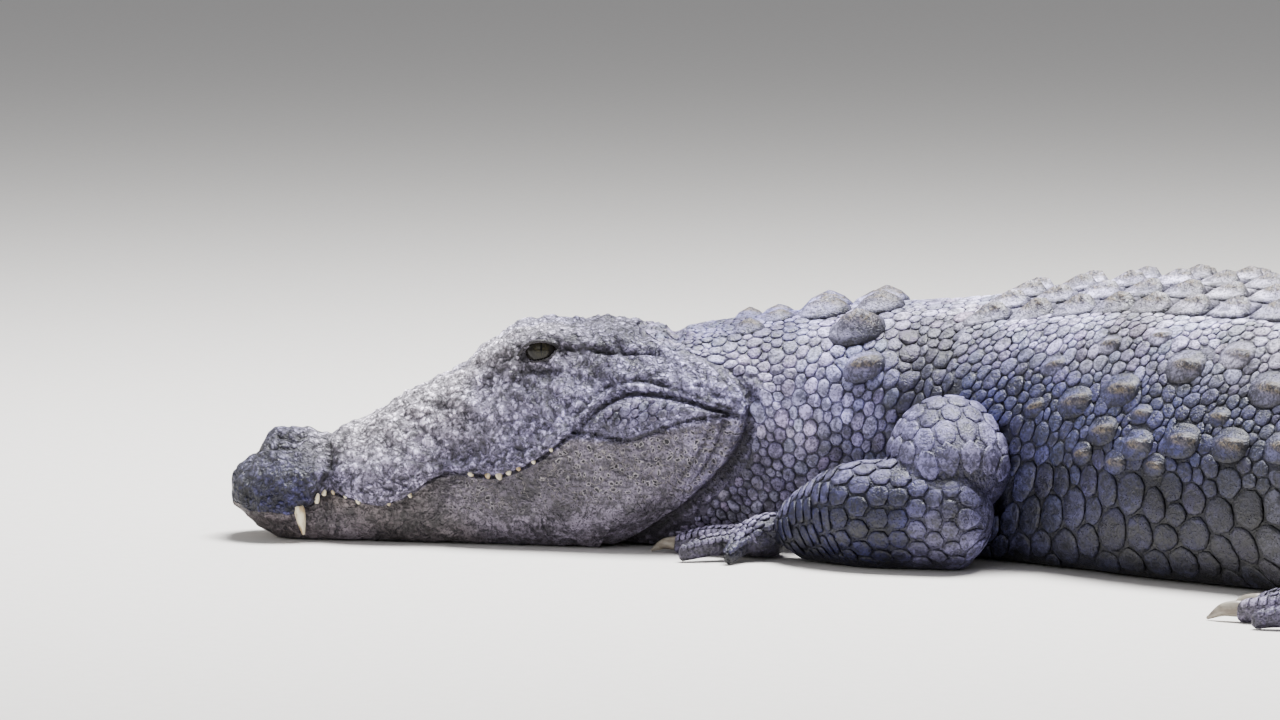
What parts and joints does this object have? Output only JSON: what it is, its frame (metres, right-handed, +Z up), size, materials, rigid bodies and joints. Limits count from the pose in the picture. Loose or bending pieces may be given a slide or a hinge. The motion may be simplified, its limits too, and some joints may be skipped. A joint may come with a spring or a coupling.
{
  "type": "mugger crocodile lying on its belly",
  "caption": "Life-size mugger crocodile at rest on its belly, head turned to its left, mouth shut, tail in a gentle curve: a still figure of the whole animal.",
  "frame": {"origin": "middle of the bounding box, on the floor under the belly", "axes": "+X along the body from snout to tail, -Y the animal's left side, +Z up"},
  "size_m": [3.4943, 0.9335, 0.3241],
  "materials": {
    "hide": "dry scaly hide",
    "claw_horn": "worn horn",
    "eye": "wet gloss"
  },
  "bodies": {
    "root": {"belly": "hide", "chest": "hide", "claw_foot_left_1": "claw_horn", "claw_foot_left_2": "claw_horn", "claw_foot_left_3": "claw_horn", "claw_foot_right_1": "claw_horn", "claw_foot_right_2": "claw_horn", "claw_foot_right_3": "claw_horn", "claw_hand_left_1": "claw_horn", "claw_hand_left_2": "claw_horn", "claw_hand_left_3": "claw_horn", "claw_hand_right_1": "claw_horn", "claw_hand_right_2": "claw_horn", "claw_hand_right_3": "claw_horn", "eye_left": "eye", "eye_right": "eye", "foot_left": "hide", "foot_right": "hide", "forearm_left": "hide", "forearm_right": "hide", "hand_left": "hide", "hand_right": "hide", "head": "hide", "lower_jaw": "hide", "neck": "hide", "shank_left": "hide", "shank_right": "hide", "tail_base": "hide", "tail_end": "hide", "tail_middle": "hide", "thigh_left": "hide", "thigh_right": "hide", "upper_arm_left": "hide", "upper_arm_right": "hide"}
  },
  "joints": []
}
